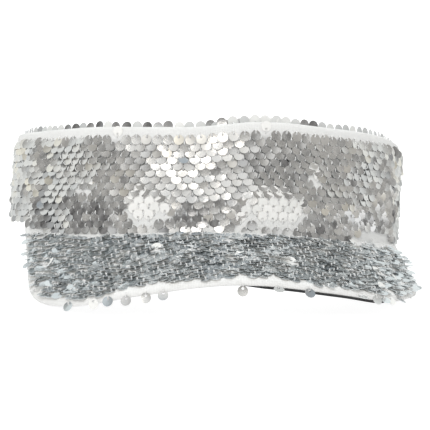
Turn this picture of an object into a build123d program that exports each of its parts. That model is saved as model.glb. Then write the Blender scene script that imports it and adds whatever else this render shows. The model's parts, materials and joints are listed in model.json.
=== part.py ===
"""Sun visor cap in flip-sequin fabric: an upright open-topped band, a curved sloping brim and a
hook-and-loop closure at the rear. Millimetres and degrees.

The pieces are drawn in the band's own frame: the band's axis is +Z, its lower edge is z = 0, and
the brim points towards -Y. Angles round the band are measured from the centre front, positive
towards +X. At the end everything is turned onto the brim's two lowest points and the band's rear
edge, which is how the cap lies on a table, with the origin below its middle.
"""
from build123d import *
from math import cos, pi, radians, sin, sqrt
import os

# Band: overall sizes
BAND_RADIUS = 97.5  # outer face of the knit fabric
BAND_HEIGHT_FRONT = 50.5
BAND_HEIGHT_REAR = 35.0
HINGE_ANGLE = 100.0  # where the front stiffener ends and each side begins to flex
RIGHT_END = 20.0  # along the band, from the centre rear to the end of the right side
LEFT_END = 3.0  # the same on the left

# Layer thicknesses
KNIT = 0.8
STIFFENER = 1.4
LINING = 0.5
SWEATBAND = 1.6
SEQUIN_LAYER = 1.5
BOARD = 1.6
BRIM_LINING = 0.6
TAPE = 0.6
LAYER_GAP = 0.3  # clearance between pieces on different joints, and round the brim's root

# Band: heights of its trims
BARE_TOP = 3.8  # strip of knit with no sequins, below the top edge
BARE_BOTTOM = 0.6
TURN_DOWN = 12.0  # how far the knit is folded down inside
INNER_SEQUIN_DROP = 8.0
INNER_SEQUIN_RISE = 2.5  # how far the inner sequins stand above the top edge
SWEATBAND_LOW = 4.0
SWEATBAND_MARGIN = 1.0  # left free below the turned-down knit at the rear

# Brim
BRIM_PROJECTION = 55.0  # from the band's knit face to the brim's front edge
BRIM_HALF_WIDTH = 92.5
BRIM_FRONT_RADIUS = 145.0
BRIM_CORNER_RADIUS = 54.0
BRIM_ROOT_Y = -22.0  # the brim's corners under the band
BRIM_CURVE_RADIUS = 180.0  # arch from side to side
BRIM_SLOPE = 21.2  # fall towards the front
BRIM_SKEW = 4.4  # the arch's crest points this far to the right
BRIM_ROLL = 2.8  # the left side hangs lower than the right
BRIM_CREST_Z = -1.0
TURN_UNDER = 8.0  # knit folded back under the brim's edge
BRIM_TRIM_INSET = 0.5

# Rear closure
LOOP_LENGTH = 57.0
LOOP_THICKNESS = 1.2
HOOK_LENGTH = 53.0
HOOK_THICKNESS = 1.2
HOOK_INSET = 2.0  # bare webbing past the hooks at the tab's tip
TAB_THICKNESS = 1.4
TAB_HEIGHT = 25.0
TAB_REACH = 50.0  # from the centre rear to the tab's tip
TAB_ROOT_LENGTH = 14.0
PATCH_MARGIN = 2.0

# Loose sequins on thread loops along the brim's edge
SEQUIN_RADIUS = 2.5
SEQUIN_THICKNESS = 0.2
SEQUIN_HOLE_RADIUS = 0.55
SEQUIN_HOLE_OFFSET = 1.25
THREAD_RADIUS = 0.15
THREAD_LOOP_RADIUS = 0.9
THREAD_LOOP_HEIGHT = 0.75  # the loop's centre, out from the fabric
# place along the brim's front edge, and how far each has swung up from hanging
EDGE_SEQUINS = [(-51.5, 20.0), (-43.0, 12.0), (-35.4, 28.0), (-0.3, 10.0), (15.8, 62.0), (30.4, 35.0)]
SEQUIN_SWING = 165.0  # from hanging to almost upright

# Stitches
STITCH_LENGTH = 3.0
STITCH_PITCH = 6.0
STITCH_SIZE = 0.4
STITCH_MARGIN = 2.0

# Radii of the band's layers, from outside to inside
STIFFENER_OUTER = BAND_RADIUS - KNIT
LINING_OUTER = STIFFENER_OUTER - STIFFENER
SWEATBAND_OUTER = LINING_OUTER - LINING
TURN_INNER = LINING_OUTER - KNIT
SEQUIN_OUTER = BAND_RADIUS + SEQUIN_LAYER
INNER_SEQUIN_INNER = TURN_INNER - SEQUIN_LAYER
SWEATBAND_INNER = SWEATBAND_OUTER - SWEATBAND
LOOP_OUTER = BAND_RADIUS + LOOP_THICKNESS
HOOK_INNER = LOOP_OUTER + LAYER_GAP
TAB_INNER = HOOK_INNER + HOOK_THICKNESS
TAB_OUTER = TAB_INNER + TAB_THICKNESS

# Heights that follow the band's height at the rear
SWEATBAND_TOP = BAND_HEIGHT_REAR - TURN_DOWN - SWEATBAND_MARGIN
TAB_LOW = (BAND_HEIGHT_REAR - TAB_HEIGHT) / 2
TAB_HIGH = TAB_LOW + TAB_HEIGHT

# Heights of the brim's layers, from the top face of its knit
BOARD_TOP = -KNIT
BOARD_BOTTOM = BOARD_TOP - BOARD
KNIT_BOTTOM = BOARD_BOTTOM - KNIT
BRIM_BOTTOM = KNIT_BOTTOM - BRIM_LINING

FAR = 4 * BAND_RADIUS  # larger than the whole cap, for cutting shapes


def along(distance, radius=BAND_RADIUS):
    """Angle that an arc of this length spans."""
    return distance / radius * 180 / pi


# Angles of the closure's pieces, measured from the centre front
RIGHT_WING_END = 180 - along(RIGHT_END)
LEFT_WING_END = -180 + along(LEFT_END)
LOOP_END = LEFT_WING_END + along(LOOP_LENGTH)
TAB_TIP = 180 + along(TAB_REACH)
TAB_ROOT_START = RIGHT_WING_END - along(TAB_ROOT_LENGTH)
JOINT_GAP = along(LAYER_GAP)


def top_plane(rise):
    """The band's sloping top edge, raised by a distance."""
    fall = (BAND_HEIGHT_FRONT - BAND_HEIGHT_REAR) / (2 * BAND_RADIUS)
    middle = (BAND_HEIGHT_FRONT + BAND_HEIGHT_REAR) / 2
    return Plane(origin=(0, 0, middle + rise), x_dir=(1, 0, 0), z_dir=(0, fall, 1))


def brim_plane():
    """Frame of the brim's arch: x across, y up out of the brim, z along its fall."""
    slope = radians(BRIM_SLOPE)
    skew = radians(BRIM_SKEW)
    fall = Vector(sin(skew) * cos(slope), -cos(skew) * cos(slope), -sin(slope))
    level = Vector(cos(skew), sin(skew), 0)
    raised = fall.cross(level)
    across = level * cos(radians(BRIM_ROLL)) + raised * sin(radians(BRIM_ROLL))
    return Plane(origin=(0, -SEQUIN_OUTER, BRIM_CREST_Z), x_dir=across, z_dir=fall)


BRIM = brim_plane()


def brim_bulk(rise):
    """Everything under a surface that lies this far above the brim's knit."""
    radius = BRIM_CURVE_RADIUS + rise
    return BRIM * Pos(0, -BRIM_CURVE_RADIUS, 0) * Cylinder(radius, FAR)


def brim_height(x, y, rise):
    """Height of that surface above the point x, y."""
    base = BRIM.to_local_coords(Vector(x, y, 0))
    up = BRIM.to_local_coords(Vector(x, y, 1)) - base
    depth = base.Y + BRIM_CURVE_RADIUS
    a = up.X**2 + up.Y**2
    b = 2 * (base.X * up.X + depth * up.Y)
    c = base.X**2 + depth**2 - (BRIM_CURVE_RADIUS + rise) ** 2
    return (sqrt(b * b - 4 * a * c) - b) / (2 * a)


def disc(radius):
    """A tall plug round the band's axis."""
    return Cylinder(radius, FAR)


def wall(inner, outer, start, end, low, high):
    """Upright curved wall between two radii, two angles and two heights."""
    outer_arc = CenterArc((0, 0), outer, start - 90, end - start)
    inner_arc = CenterArc((0, 0), inner, start - 90, end - start)
    ends = [Line(outer_arc @ 0, inner_arc @ 0), Line(outer_arc @ 1, inner_arc @ 1)]
    face = make_face([outer_arc, inner_arc] + ends)
    return extrude(Plane.XY.offset(low) * face, high - low)


def band_wall(inner, outer, start, end, low, rise):
    """Wall from a height above the lower edge to the sloping top plus a rise."""
    tall = wall(inner, outer, start, end, low, 2 * BAND_HEIGHT_FRONT)
    return split(tall, top_plane(rise), keep=Keep.BOTTOM)


def front_wall(inner, outer, low, rise):
    """Front of the band, whose lower edge follows the brim."""
    deep = -BAND_HEIGHT_FRONT
    tall = band_wall(inner, outer, -HINGE_ANGLE, HINGE_ANGLE, deep, rise)
    below = Pos(0, BRIM_ROOT_Y + FAR / 2, low - FAR / 2) * Box(FAR, FAR, FAR)
    ahead = Pos(0, BRIM_ROOT_Y - FAR / 2, 0) * Box(FAR, FAR, FAR)
    return tall - below - (brim_bulk(low) & ahead)


def folded_knit(walls, low):
    """Knit up the outside, over the stiffener's top edge and down inside, from any wall maker."""
    outside = walls(STIFFENER_OUTER, BAND_RADIUS, low, 0)
    over = walls(TURN_INNER, BAND_RADIUS, low, 0) - walls(TURN_INNER, BAND_RADIUS, low, -KNIT)
    down = walls(TURN_INNER, LINING_OUTER, low, 0) - walls(TURN_INNER, LINING_OUTER, low, -TURN_DOWN)
    return outside + over + down


def stitches(radius, start, end, height):
    """A row of short stitches lying on the inside of a wall."""
    row = []
    count = int((end - start) / along(STITCH_PITCH, radius))
    length = along(STITCH_LENGTH, radius)
    for n in range(count):
        angle = start + (n + 0.5) * (end - start) / count
        low = height - STITCH_SIZE / 2
        row.append(wall(radius - STITCH_SIZE, radius, angle - length / 2, angle + length / 2,
                        low, low + STITCH_SIZE))
    return Compound(children=row)


def front_band():
    """The pieces of the band from ear to ear."""
    tape_bottom = wall(SWEATBAND_OUTER - TAPE, SWEATBAND_OUTER, -HINGE_ANGLE + TURN_UNDER,
                       HINGE_ANGLE - TURN_UNDER, -BAND_HEIGHT_FRONT, SWEATBAND_LOW - LAYER_GAP)
    return {
        "band_stiffener": front_wall(LINING_OUTER, STIFFENER_OUTER, 0, -KNIT),
        "band_knit_fabric": folded_knit(front_wall, 0),
        "band_outer_sequins": front_wall(BAND_RADIUS, SEQUIN_OUTER, BARE_BOTTOM, -BARE_TOP),
        "band_inner_sequins": band_wall(INNER_SEQUIN_INNER, TURN_INNER, -HINGE_ANGLE, HINGE_ANGLE, 0,
                                        INNER_SEQUIN_RISE)
        - band_wall(INNER_SEQUIN_INNER, TURN_INNER, -HINGE_ANGLE, HINGE_ANGLE, 0, -INNER_SEQUIN_DROP),
        "band_lining": front_wall(SWEATBAND_OUTER, LINING_OUTER, 0, -TURN_DOWN),
        "front_sweatband": wall(SWEATBAND_INNER, SWEATBAND_OUTER, -HINGE_ANGLE, HINGE_ANGLE,
                                SWEATBAND_LOW, SWEATBAND_TOP),
        "front_sweatband_stitches": stitches(SWEATBAND_INNER, -HINGE_ANGLE, HINGE_ANGLE,
                                             SWEATBAND_LOW + STITCH_MARGIN),
        "brim_seam_tape": tape_bottom - brim_bulk(BRIM_BOTTOM),
    }


def wing(side, near, far, sequins_to):
    """The flexing side of the band between two angles; the outer sequins stop at a third."""
    start, end = sorted((near, far))
    sequin_start, sequin_end = sorted((near, sequins_to))

    def walls(inner, outer, low, rise):
        return band_wall(inner, outer, start, end, low, rise)

    inner_high = walls(INNER_SEQUIN_INNER, TURN_INNER, 0, INNER_SEQUIN_RISE)
    return {
        side + "_padding": walls(LINING_OUTER, STIFFENER_OUTER, 0, -KNIT),
        side + "_knit_fabric": folded_knit(walls, 0),
        side + "_outer_sequins": band_wall(BAND_RADIUS, SEQUIN_OUTER, sequin_start, sequin_end,
                                           BARE_BOTTOM, -BARE_TOP),
        side + "_inner_sequins": inner_high
        - walls(INNER_SEQUIN_INNER, TURN_INNER, 0, -INNER_SEQUIN_DROP),
        side + "_lining": walls(SWEATBAND_OUTER, LINING_OUTER, 0, -TURN_DOWN),
        side + "_sweatband": wall(SWEATBAND_INNER, SWEATBAND_OUTER, start, end, SWEATBAND_LOW,
                                  SWEATBAND_TOP),
        side + "_sweatband_stitches": stitches(SWEATBAND_INNER, start, end,
                                               SWEATBAND_LOW + STITCH_MARGIN),
    }


def closure():
    """Hook-and-loop tab at the rear: its sewn root, its free length and both patches."""
    patch_low = TAB_LOW + PATCH_MARGIN
    patch_high = TAB_HIGH - PATCH_MARGIN
    tab_start = RIGHT_WING_END + JOINT_GAP
    hook_end = TAB_TIP - along(HOOK_INSET)
    return {
        "loop_patch": wall(BAND_RADIUS, LOOP_OUTER, LEFT_WING_END, LOOP_END, TAB_LOW, TAB_HIGH),
        "tab_root": wall(BAND_RADIUS, TAB_OUTER, TAB_ROOT_START, RIGHT_WING_END, TAB_LOW, TAB_HIGH),
        "closure_tab": wall(TAB_INNER, TAB_OUTER, tab_start, TAB_TIP, TAB_LOW, TAB_HIGH),
        "hook_patch": wall(HOOK_INNER, TAB_INNER, hook_end - along(HOOK_LENGTH), hook_end, patch_low,
                           patch_high),
    }


def brim_outline(grow):
    """The brim's outline as a tall plug, grown outwards all round except at the root."""
    half = BRIM_HALF_WIDTH + grow
    front = BAND_RADIUS + BRIM_PROJECTION + grow
    radius = BRIM_FRONT_RADIUS + grow
    strip = Pos(0, (BRIM_ROOT_Y - front) / 2) * Rectangle(2 * half, BRIM_ROOT_Y + front)
    face = strip & (Pos(0, radius - front) * Circle(radius))
    corners = face.vertices().sort_by(Axis.Y)[:2]
    return Pos(0, 0, -FAR / 2) * extrude(fillet(corners, BRIM_CORNER_RADIUS + grow), FAR)


def brim_layer(grow, low, high, inner):
    """Curved sheet with the brim's outline between two heights, outside a radius."""
    above = Pos(0, 0, FAR / 4) * Box(FAR, FAR, FAR)
    plug = brim_outline(grow) & above
    return (plug & brim_bulk(high)) - brim_bulk(low) - disc(inner)


def brim():
    """Board, knit folded round its edge, sequins on top and the lining below."""
    inner = SWEATBAND_OUTER
    knit = brim_layer(KNIT, KNIT_BOTTOM, 0, inner)
    core = brim_layer(0, BOARD_BOTTOM, BOARD_TOP, inner)
    middle = brim_layer(-TURN_UNDER, KNIT_BOTTOM, BOARD_BOTTOM, inner)
    return {
        "brim_board": core,
        "brim_knit_fabric": knit - core - middle,
        "brim_lining": middle + brim_layer(KNIT - THREAD_RADIUS, BRIM_BOTTOM, KNIT_BOTTOM, inner),
        "brim_sequins": brim_layer(-BRIM_TRIM_INSET, 0, SEQUIN_LAYER, SEQUIN_OUTER + LAYER_GAP),
    }


def edge_frame(x):
    """Where a loose sequin hangs: x along the edge, y up, z out from the fold."""
    radius = BRIM_FRONT_RADIUS + KNIT
    centre_y = BRIM_FRONT_RADIUS - BAND_RADIUS - BRIM_PROJECTION
    y = centre_y - sqrt(radius**2 - x**2)
    outward = Vector(x, y - centre_y, 0).normalized()
    z = brim_height(x, y, KNIT_BOTTOM / 2)
    centre = Vector(x, y, z) + outward * THREAD_LOOP_HEIGHT
    return Plane(origin=centre, x_dir=Vector(-outward.Y, outward.X, 0), z_dir=outward)


def thread_loop(place):
    """Half ring of thread standing on the fold, with its two legs."""
    legs = []
    for side in (-1, 1):
        leg_place = Pos(0, side * THREAD_LOOP_RADIUS, -THREAD_LOOP_HEIGHT / 2)
        legs.append(leg_place * Cylinder(THREAD_RADIUS, THREAD_LOOP_HEIGHT))
    ring = Rot(0, 90, 0) * Torus(THREAD_LOOP_RADIUS, THREAD_RADIUS)
    half = ring & (Pos(0, 0, SEQUIN_RADIUS) * Box(2 * SEQUIN_RADIUS, 2 * SEQUIN_RADIUS, 2 * SEQUIN_RADIUS))
    return place * (half + legs[0] + legs[1])


def edge_sequin(place, swing):
    """Sequin threaded on its loop, swung up from hanging by an angle."""
    body = Cylinder(SEQUIN_RADIUS, SEQUIN_THICKNESS)
    hole = Pos(0, SEQUIN_HOLE_OFFSET, 0) * Cylinder(SEQUIN_HOLE_RADIUS, 2 * SEQUIN_THICKNESS)
    drop = THREAD_LOOP_RADIUS + SEQUIN_HOLE_OFFSET
    return place * Rot(-swing, 0, 0) * Pos(0, -drop, 0) * (body - hole)


def edge_sequins():
    """The loose sequins, one node each, and all their thread loops in one node."""
    nodes = {}
    loops = []
    for n, (x, swing) in enumerate(EDGE_SEQUINS, 1):
        place = edge_frame(x)
        loops.append(thread_loop(place))
        nodes[f"edge_sequin_{n}"] = edge_sequin(place, swing)
    nodes["edge_thread_loops"] = Compound(children=loops)
    return nodes


def pieces():
    """Every piece of the cap in the band's frame, by name."""
    nodes = front_band()
    nodes.update(brim())
    nodes.update(wing("left", -HINGE_ANGLE - JOINT_GAP, LEFT_WING_END, LOOP_END + JOINT_GAP))
    nodes.update(wing("right", HINGE_ANGLE + JOINT_GAP, RIGHT_WING_END, TAB_ROOT_START - JOINT_GAP))
    nodes.update(closure())
    nodes.update(edge_sequins())
    return nodes


def lowest(points, up):
    """The point that lies furthest down."""
    return min(points, key=up.dot)


def resting_place(nodes):
    """Location that puts the cap on its brim's two low points and the band's rear edge."""
    samples = [edge.position_at(n / 40) for name in ("brim_lining", "brim_knit_fabric")
               for edge in nodes[name].edges() for n in range(41)]
    rear = [Vector(BAND_RADIUS * sin(radians(a)), -BAND_RADIUS * cos(radians(a)), 0)
            for a in range(100, 261)]
    left = [p for p in samples if p.X < 0]
    right = [p for p in samples if p.X > 0]
    up = Vector(0, 0, 1)
    for _ in range(8):
        a, b, c = lowest(left, up), lowest(right, up), lowest(rear, up)
        up = (b - a).cross(c - a).normalized()
    across = (Vector(1, 0, 0) - up * up.X).normalized()
    table = Plane(origin=c, x_dir=across, z_dir=up).location.inverse()
    box = Compound(children=[node.moved(table) for node in nodes.values()]).bounding_box()
    return Pos(-box.center().X, -box.center().Y, -box.min.Z) * table


def main():
    nodes = pieces()
    place = resting_place(nodes)
    os.makedirs("parts", exist_ok=True)
    for name, shape in nodes.items():
        export_step(shape.moved(place), f"parts/{name}.step")
    return nodes, place


if __name__ == "__main__":
    main()
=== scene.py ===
"""Looks of a sun visor cap in silver flip-sequin fabric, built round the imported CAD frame.

Lengths are in millimetres in the band's own frame (axis +Z, brim towards -Y) until a mesh is made,
when BAND_MATRIX turns them into metres in the frame's coordinates. Angles round the band are in
degrees from the centre front, positive towards +X.
"""
import bmesh
import bpy
import json
import numpy as np
from math import atan2, ceil, cos, degrees, exp, floor, hypot, pi, radians, sin, sqrt
from mathutils import Matrix, Vector, noise
from random import Random


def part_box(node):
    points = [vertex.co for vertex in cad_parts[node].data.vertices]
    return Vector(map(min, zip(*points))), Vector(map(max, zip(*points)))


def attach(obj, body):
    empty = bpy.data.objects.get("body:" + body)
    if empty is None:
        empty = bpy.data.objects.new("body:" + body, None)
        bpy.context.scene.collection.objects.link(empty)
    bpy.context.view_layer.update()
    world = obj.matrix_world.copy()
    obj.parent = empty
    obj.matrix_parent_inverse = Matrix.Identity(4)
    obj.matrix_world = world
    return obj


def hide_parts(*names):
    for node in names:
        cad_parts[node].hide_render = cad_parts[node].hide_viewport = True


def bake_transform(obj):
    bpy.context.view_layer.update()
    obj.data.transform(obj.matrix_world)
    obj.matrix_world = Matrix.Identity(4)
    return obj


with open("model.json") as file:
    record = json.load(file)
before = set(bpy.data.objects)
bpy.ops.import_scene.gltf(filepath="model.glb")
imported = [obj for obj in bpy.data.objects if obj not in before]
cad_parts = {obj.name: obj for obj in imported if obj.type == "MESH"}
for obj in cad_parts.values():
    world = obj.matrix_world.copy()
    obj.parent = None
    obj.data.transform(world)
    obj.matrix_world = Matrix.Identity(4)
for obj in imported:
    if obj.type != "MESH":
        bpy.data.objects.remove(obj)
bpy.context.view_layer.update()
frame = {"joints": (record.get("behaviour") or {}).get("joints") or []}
MM = 0.001

# Radii of the band's layers, from outside to inside
SEQUIN_OUTER = 99.0
BAND_RADIUS = 97.5
STIFFENER_OUTER = 96.7
LINING_OUTER = 95.3
SWEATBAND_OUTER = 94.8
TURN_INNER = 94.5
SWEATBAND_INNER = 93.2

# Band heights and the angles where its pieces end
FRONT_HEIGHT = 50.5
REAR_HEIGHT = 35.0
BARE_TOP = 3.8
TURN_DOWN = 12.0
SWEATBAND_LOW = 4.0
SWEATBAND_TOP = 22.0
KNIT = 0.8
HINGE_ANGLE = 100.0
SIDE_START = 82.0  # where the side pieces take over from the front ones
LEFT_END = -178.24
RIGHT_END = 168.25
LOOP_END = -144.74
TAB_ROOT_START = 160.02
TAB_TIP = 209.38
HOOK_START = 177.06
HOOK_END = 208.2
TAB_LOW = 5.0
TAB_HIGH = 30.0
LOOP_OUTER = 98.7
HOOK_INNER = 99.0
TAB_INNER = 100.2
TAB_OUTER = 101.6
PATCH_MARGIN = 2.0  # from the tab's long edges to its hooks and its box stitch
SIDES = {"left": (-1, LEFT_END), "right": (1, RIGHT_END)}

# Brim, as in the CAD
BRIM_PROJECTION = 55.0
BRIM_HALF_WIDTH = 92.5
BRIM_FRONT_RADIUS = 145.0
BRIM_CORNER_RADIUS = 54.0
BRIM_ROOT_Y = -22.0
BRIM_CURVE = 180.0
BRIM_SLOPE = 21.2
BRIM_SKEW = 4.4
BRIM_ROLL = 2.8
BRIM_CREST_Z = -1.0
BOARD_TOP = -0.8
BOARD_BOTTOM = -2.4
KNIT_BOTTOM = -3.2
BRIM_BOTTOM = -3.8
TURN_UNDER = 8.0

# Sequins
DISC = 2.5
HOLE = 0.6
HOLE_OFFSET = 1.25
CUP = 0.1
DISC_THICKNESS = 0.12
DISC_SIDES = 14
THREAD = 0.33
LOOP_SPAN = 1.7
PITCH = 5.2
ROW = 3.05
ROOT_LIFT = 0.28  # the threads come out this far above the cloth's face
ODD_TONE = 0.5  # tone of a thread, which doesn't use it
SPREAD = 0.618  # step that spreads the sequins with a visible thread evenly


# ---------------------------------------------------------------- the band's frame

def band_matrix():
    """From band-frame millimetres to metres in the frame, worked out from the two side hinges."""
    joints = {j["name"]: j for j in frame["joints"]}
    right = Vector(joints["right_wing_flex"]["pos_m"])
    left = Vector(joints["left_wing_flex"]["pos_m"])
    up = Vector(joints["left_wing_flex"]["axis"]).normalized()
    across = (right - left).normalized()
    rear = up.cross(across)
    behind = sqrt((SEQUIN_OUTER * MM) ** 2 - ((right - left).length / 2) ** 2)
    origin = (right + left) / 2 - rear * behind
    turn = Matrix((across, rear, up)).transposed().to_4x4()
    return Matrix.Translation(origin) @ turn @ Matrix.Scale(MM, 4)


BAND_MATRIX = band_matrix()


def smooth(low, high, value):
    t = min(max((value - low) / (high - low), 0.0), 1.0)
    return t * t * (3 - 2 * t)


def ring(radius, angle, z):
    a = radians(angle)
    return Vector((radius * sin(a), -radius * cos(a), z))


# ---------------------------------------------------------------- the brim's surface

def brim_axes():
    slope, skew, roll = radians(BRIM_SLOPE), radians(BRIM_SKEW), radians(BRIM_ROLL)
    fall = Vector((sin(skew) * cos(slope), -cos(skew) * cos(slope), -sin(slope)))
    level = Vector((cos(skew), sin(skew), 0))
    across = level * cos(roll) + fall.cross(level) * sin(roll)
    return across, fall.cross(across), fall


ACROSS, OUT, FALL = brim_axes()
CREST = Vector((0, -SEQUIN_OUTER, BRIM_CREST_Z))
CREST_RISE = 1.5  # how far the brim's front edge is lifted at its middle
RIGHT_LIFT = 1.6  # the same at its two front corners
LEFT_LIFT = 0.5
CORNER_WEAR = 2.6  # how far the worn right front corner is drawn in
WORN_LENGTH = 24.0
CREST_X = -4.0  # middle of the lifted stretch of the front edge, and half its width
CREST_HALF = 46.0
BRIM_RIPPLE = 0.35


def brim_height(x, y, rise):
    """Height of the brim's surface over x, y, this far above its knit."""
    base = Vector((x, y, 0)) - CREST
    bx, bo = base.dot(ACROSS), base.dot(OUT) + BRIM_CURVE
    ux, uo = ACROSS.z, OUT.z
    a = ux * ux + uo * uo
    b = 2 * (bx * ux + bo * uo)
    c = bx * bx + bo * bo - (BRIM_CURVE + rise) ** 2
    z = (sqrt(b * b - 4 * a * c) - b) / (2 * a)
    return z + brim_lift(x, y)


def brim_lift(x, y):
    """Soft unevenness of the brim, nothing at its root."""
    forward = smooth(0, BRIM_PROJECTION, hypot(x, y) - BAND_RADIUS)
    middle = cos(pi / 2 * min(abs(x - CREST_X) / CREST_HALF, 1)) ** 2
    corners = RIGHT_LIFT * smooth(56, 88, x) + LEFT_LIFT * smooth(60, 90, -x)
    ripple = BRIM_RIPPLE * noise.noise(Vector((x * 0.05, y * 0.05, 3.1)))
    return forward * (CREST_RISE * middle + corners + ripple)


def brim_normal(x, y):
    step = 0.5
    dx = (brim_height(x + step, y, 0) - brim_height(x - step, y, 0)) / (2 * step)
    dy = (brim_height(x, y + step, 0) - brim_height(x, y - step, 0)) / (2 * step)
    return Vector((-dx, -dy, 1)).normalized()


FRONT_Y = -(BAND_RADIUS + BRIM_PROJECTION)
FRONT_CENTRE_Y = FRONT_Y + BRIM_FRONT_RADIUS
CORNER_X = BRIM_HALF_WIDTH - BRIM_CORNER_RADIUS
CORNER_Y = FRONT_CENTRE_Y - sqrt((BRIM_FRONT_RADIUS - BRIM_CORNER_RADIUS) ** 2 - CORNER_X**2)
TANGENT_ANGLE = atan2(CORNER_X, FRONT_CENTRE_Y - CORNER_Y)
ARC_FRONT = BRIM_FRONT_RADIUS * TANGENT_ANGLE
ARC_CORNER = BRIM_CORNER_RADIUS * (pi / 2 - TANGENT_ANGLE)
SIDE_END_Y = BRIM_ROOT_Y - 6  # rear end of the outline's two straight sides
SIDE_RUN = SIDE_END_Y - CORNER_Y
HALF_EDGE = ARC_FRONT + ARC_CORNER + SIDE_RUN


def corner_trim(s):
    """The cloth of the right front corner is worn rounder than it was cut."""
    return CORNER_WEAR * exp(-(((s - ARC_FRONT - ARC_CORNER * 0.55) / WORN_LENGTH) ** 2))


def brim_edge(s, grow=0.0):
    """Point of the brim's outline at length s from its middle, grown outwards, and its normal."""
    side = 1 if s >= 0 else -1
    grow -= corner_trim(s)
    s = abs(s)
    if s <= ARC_FRONT:
        a = s / BRIM_FRONT_RADIUS
        centre, radius = (0, FRONT_CENTRE_Y), BRIM_FRONT_RADIUS
    elif s <= ARC_FRONT + ARC_CORNER:
        a = TANGENT_ANGLE + (s - ARC_FRONT) / BRIM_CORNER_RADIUS
        centre, radius = (CORNER_X, CORNER_Y), BRIM_CORNER_RADIUS
    else:
        run = s - ARC_FRONT - ARC_CORNER
        return (side * (BRIM_HALF_WIDTH + grow), CORNER_Y + run), (side, 0.0)
    r = radius + grow
    return (side * (centre[0] + r * sin(a)), centre[1] - r * cos(a)), (side * sin(a), -cos(a))


def inside_brim(x, y, margin):
    """True where x, y lies inside the outline by more than a margin."""
    if x > CORNER_X and y < CORNER_Y + 20:
        turn = atan2(x - CORNER_X, CORNER_Y - y) - TANGENT_ANGLE
        margin += corner_trim(ARC_FRONT + BRIM_CORNER_RADIUS * min(turn, pi / 2 - TANGENT_ANGLE))
    x = abs(x)
    if x > BRIM_HALF_WIDTH - margin:
        return False
    if x <= CORNER_X or atan2(x - CORNER_X, CORNER_Y - y) < TANGENT_ANGLE:
        return hypot(x, y - FRONT_CENTRE_Y) < BRIM_FRONT_RADIUS - margin
    if y >= CORNER_Y:
        return True
    return hypot(x - CORNER_X, y - CORNER_Y) < BRIM_CORNER_RADIUS - margin


# ---------------------------------------------------------------- the band's surface

SAG_LEFT = -2.2  # of the soft top edge in front, left and right of the middle
SAG_RIGHT = 2.0
TOP_RIPPLE = 0.5
BULGE = 0.45


def low_edge(angle, rise=0.0):
    """Height of the band's lower edge: on the brim in front, level behind it."""
    weight = 1 - smooth(71, 84, abs(angle))
    if weight == 0:
        return 0.0
    p = ring(BAND_RADIUS, angle, 0)
    return weight * brim_height(p.x, p.y, rise)


def top_edge(angle):
    """Height of the band's top edge, with the soft cloth's unevenness."""
    plane = (FRONT_HEIGHT + REAR_HEIGHT) / 2 + (FRONT_HEIGHT - REAR_HEIGHT) / 2 * cos(radians(angle))
    sag = SAG_LEFT + (SAG_RIGHT - SAG_LEFT) * smooth(-14, 10, angle)
    ripple = TOP_RIPPLE * noise.noise(Vector((angle * 0.06, 0, 7.7)))
    return plane + (sag + ripple) * (1 - smooth(55, 96, abs(angle)))


def bulge(angle, z):
    """How far the soft cloth stands out from a true cylinder."""
    wave = noise.noise(Vector((angle * 0.035, z * 0.04, 1.3)))
    return BULGE * wave * (1 - smooth(140, 158, abs(angle)))


# ---------------------------------------------------------------- meshes

SHARP_FOLD = 35.0


def make_object(name, verts, faces, body, slot=None, replaces=()):
    """Object from band-frame vertices, which rides on a body (or on none)."""
    mesh = bpy.data.meshes.new(name)
    mesh.from_pydata([tuple(v) for v in verts], [], faces)
    mesh.transform(BAND_MATRIX)
    mesh.validate()
    for polygon in mesh.polygons:
        polygon.use_smooth = True
    obj = bpy.data.objects.new(name, mesh)
    bpy.context.scene.collection.objects.link(obj)
    if body:
        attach(obj, body)
    if replaces:
        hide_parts(*replaces)
    return obj


def tube(rings):
    """Vertices and faces of a solid through equal rings of points, capped at both ends."""
    sides = len(rings[0])
    faces = []
    for j in range(0, (len(rings) - 1) * sides, sides):
        for k in range(sides):
            m = (k + 1) % sides
            faces.append((j + k, j + m, j + sides + m, j + sides + k))
    faces.append(tuple(reversed(range(sides))))
    faces.append(tuple(range((len(rings) - 1) * sides, len(rings) * sides)))
    return [p for points in rings for p in points], faces


def joined(parts):
    """One list of vertices and one of faces from several pairs of them."""
    verts, faces = [], []
    for part, part_faces in parts:
        faces.extend(tuple(v + len(verts) for v in face) for face in part_faces)
        verts.extend(part)
    return verts, faces


def run_lengths(points):
    """Length along a row of points up to each of them."""
    lengths = [0.0]
    for a, b in zip(points, points[1:]):
        lengths.append(lengths[-1] + (b - a).length)
    return lengths


def sweep(name, sections, body, slot, material, replaces=(), covered=None):
    """Closed solid through a row of closed sections. Its UVs are in millimetres, and the last
    argument gives each point's painted shade under the sequins, from 0 to 1."""
    verts, faces = tube(sections)
    obj = make_object(name, verts, faces, body, slot, replaces)
    mesh = obj.data
    count = len(sections[0])
    around = run_lengths(sections[0])
    along = run_lengths([section[0] for section in sections])
    layer = mesh.uv_layers.new(name="cloth")
    for loop in mesh.loops:
        v = loop.vertex_index
        layer.data[loop.index].uv = (along[v // count], around[v % count])
    if covered:
        depth = mesh.attributes.new("covered", "FLOAT", "POINT")
        depth.data.foreach_set("value", [covered(p) for p in verts])
    mesh.materials.append(material)
    fix_normals(mesh)
    mesh.set_sharp_from_angle(angle=radians(SHARP_FOLD))
    return obj


def fix_normals(mesh):
    """Turns all faces outwards."""
    bm = bmesh.new()
    bm.from_mesh(mesh)
    bmesh.ops.recalc_face_normals(bm, faces=bm.faces)
    bm.to_mesh(mesh)
    bm.free()


def arc_path(centre_r, centre_z, radius, start, end, steps):
    """Points of an arc in the band's section, as radius and height."""
    angles = [radians(start + (end - start) * n / steps) for n in range(steps + 1)]
    return [(centre_r + radius * cos(a), centre_z + radius * sin(a)) for a in angles]


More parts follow.
